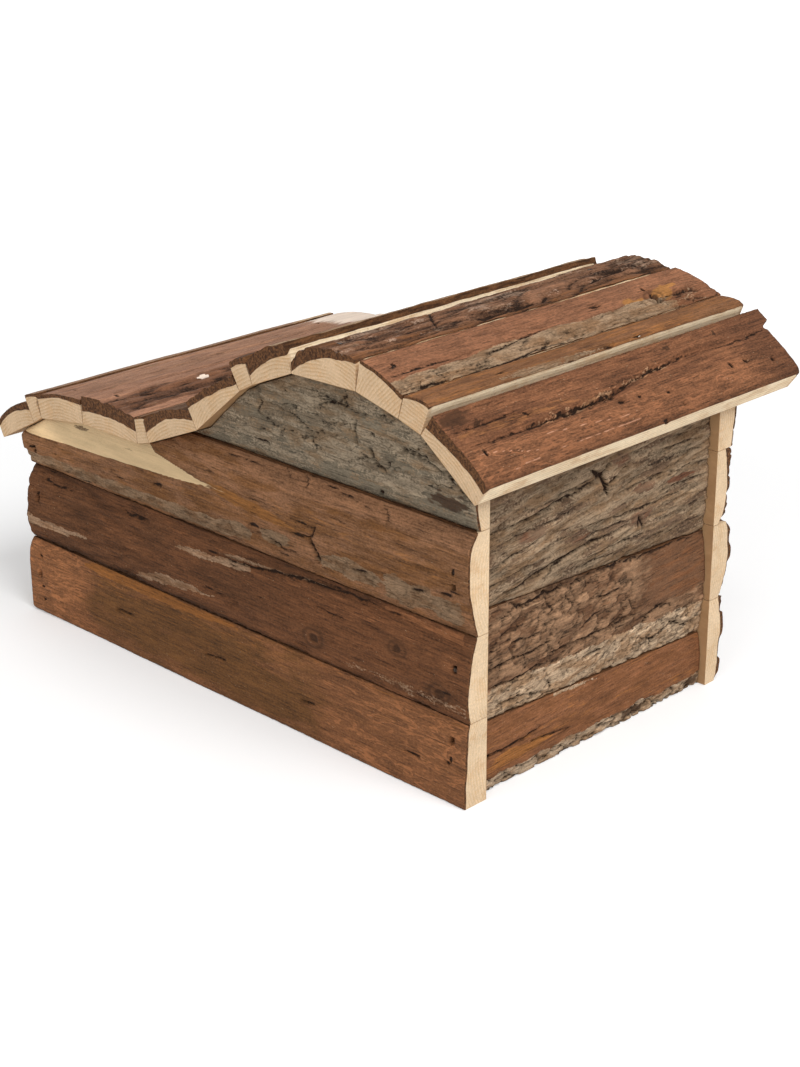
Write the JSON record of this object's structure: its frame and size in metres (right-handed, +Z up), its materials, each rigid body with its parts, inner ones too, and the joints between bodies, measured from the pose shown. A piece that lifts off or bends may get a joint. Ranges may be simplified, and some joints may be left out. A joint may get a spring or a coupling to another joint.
{
  "type": "rodent house",
  "caption": "Rodent house of bark-covered boards: straight walls, an arched doorway, open base and a wavy roof of strips with deep front eaves.",
  "frame": {"origin": "middle of the base, on the surface that the house stands on, under the middle of the roof's outline", "axes": "+X along the long walls towards the low end, -X towards the high arch; +Y towards the rear wall, -Y towards the doorway; +Z up"},
  "size_m": [0.3138, 0.2064, 0.1765],
  "materials": {
    "red_bark": "smooth reddish bark skin over pale wood, dull",
    "brown_bark": "dark brown flaking bark over pale wood, dull",
    "orange_bark": "fibrous orange-brown bark over pale wood, dull",
    "grey_bark": "grey furrowed bark over pale wood, dull",
    "brad_steel": "bare steel brad heads"
  },
  "bodies": {
    "root": {"rear_bottom_board": "red_bark", "rear_second_board": "brown_bark", "rear_third_board": "orange_bark", "rear_gable_board": "grey_bark", "front_bottom_board_tall_side": "brown_bark", "front_bottom_board_low_side": "brown_bark", "front_second_board_tall_side": "orange_bark", "front_second_board_low_side": "orange_bark", "front_third_board": "red_bark", "front_gable_board": "grey_bark", "tall_end_bottom_board": "red_bark", "tall_end_middle_board": "brown_bark", "tall_end_top_board": "grey_bark", "low_end_bottom_board": "brown_bark", "low_end_top_board": "red_bark", "roof_strip_01": "brown_bark", "roof_strip_02": "brown_bark", "roof_strip_03": "red_bark", "roof_strip_04": "red_bark", "roof_strip_05": "brown_bark", "roof_strip_06": "brown_bark", "roof_strip_07": "orange_bark", "roof_strip_08": "brown_bark", "roof_strip_09": "brown_bark", "roof_strip_10": "grey_bark", "roof_strip_11": "red_bark", "roof_strip_12": "orange_bark", "roof_strip_13": "red_bark", "wall_brad_01": "brad_steel", "wall_brad_02": "brad_steel", "wall_brad_03": "brad_steel", "wall_brad_04": "brad_steel", "wall_brad_05": "brad_steel", "wall_brad_06": "brad_steel", "wall_brad_07": "brad_steel", "wall_brad_08": "brad_steel", "wall_brad_09": "brad_steel", "wall_brad_10": "brad_steel", "wall_brad_11": "brad_steel", "wall_brad_12": "brad_steel", "roof_brad_01": "brad_steel", "roof_brad_02": "brad_steel", "roof_brad_03": "brad_steel", "roof_brad_04": "brad_steel", "roof_brad_05": "brad_steel", "roof_brad_06": "brad_steel", "roof_brad_07": "brad_steel", "roof_brad_08": "brad_steel", "roof_brad_09": "brad_steel", "roof_brad_10": "brad_steel", "roof_brad_11": "brad_steel", "roof_brad_12": "brad_steel", "roof_brad_13": "brad_steel", "roof_brad_14": "brad_steel", "roof_brad_15": "brad_steel", "roof_brad_16": "brad_steel", "roof_brad_17": "brad_steel", "roof_brad_18": "brad_steel"}
  },
  "joints": []
}
